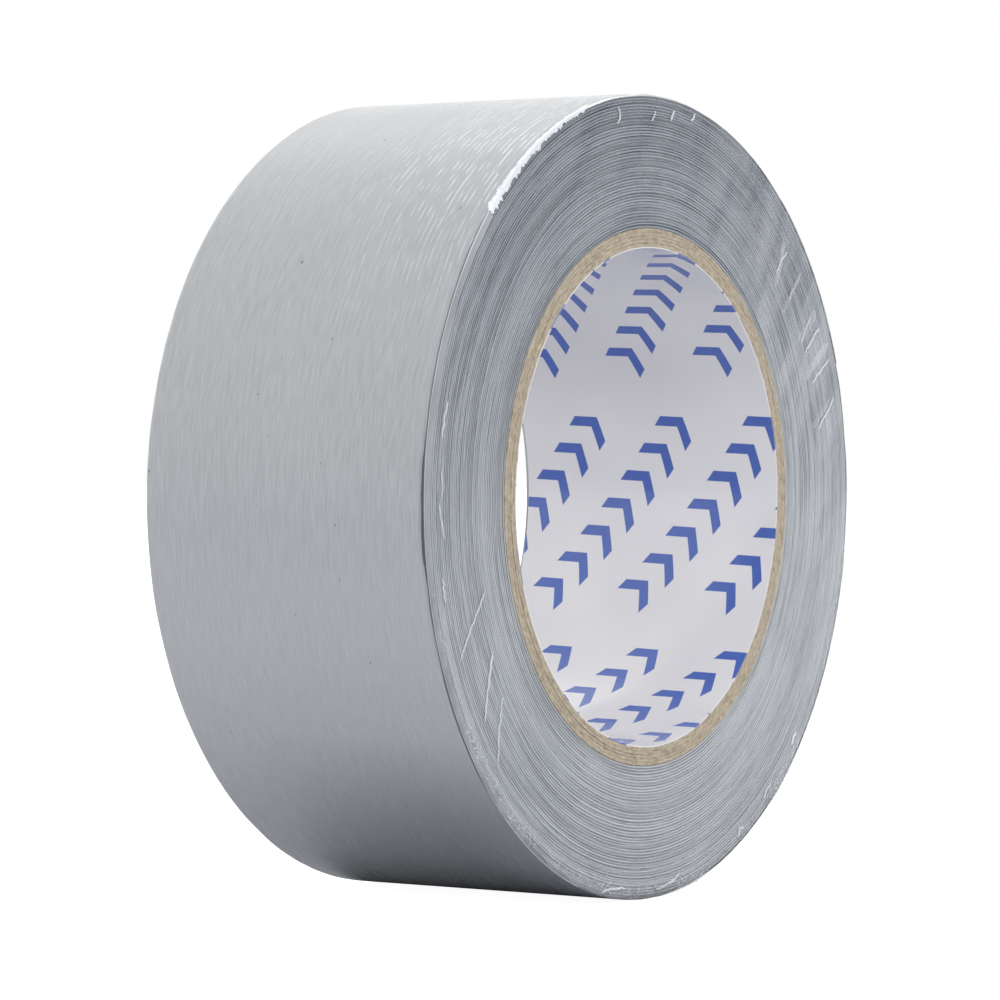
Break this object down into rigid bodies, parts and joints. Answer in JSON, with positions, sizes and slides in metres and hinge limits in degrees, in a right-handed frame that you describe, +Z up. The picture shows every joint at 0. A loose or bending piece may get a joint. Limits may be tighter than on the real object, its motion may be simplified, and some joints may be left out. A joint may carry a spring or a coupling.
{
  "type": "duct tape roll",
  "caption": "Roll of silver cloth-backed adhesive tape on a paper core with a printed liner, clear side films and a free end that peels away.",
  "frame": {"origin": "on the bore's axis, midway between the tape's two end faces", "axes": "+Y along the bore towards the far end face, +Z up with the roll standing on its rim, +X towards the side where the free end of the tape lies"},
  "size_m": [0.1228, 0.05, 0.1228],
  "materials": {
    "printed_paper": "gloss print",
    "kraft_paper": "matt",
    "tape_edge": "fine layered edge",
    "silver_backing": "satin",
    "cloth_scrim": "open weave",
    "adhesive": "tacky",
    "clear_film": "clear, creased"
  },
  "bodies": {
    "roll": {"core_liner": "printed_paper", "core_ply_1": "kraft_paper", "core_ply_2": "kraft_paper", "core_ply_3": "kraft_paper", "core_ply_4": "kraft_paper", "core_ply_5": "kraft_paper", "tape_windings": "tape_edge", "outer_turn_adhesive": "adhesive", "outer_turn_scrim": "cloth_scrim", "outer_turn_backing": "silver_backing", "near_side_film": "clear_film", "far_side_film": "clear_film"},
    "tape_end": {"tape_end_adhesive": "adhesive", "tape_end_scrim": "cloth_scrim", "tape_end_backing": "silver_backing"}
  },
  "joints": [
    {"name": "tape_end_peel", "type": "hinge", "parent": "roll", "child": "tape_end", "pos_m": [0.03957, 0, 0.04711], "axis": [0, -1, 0], "range_deg": [0, 150]}
  ]
}
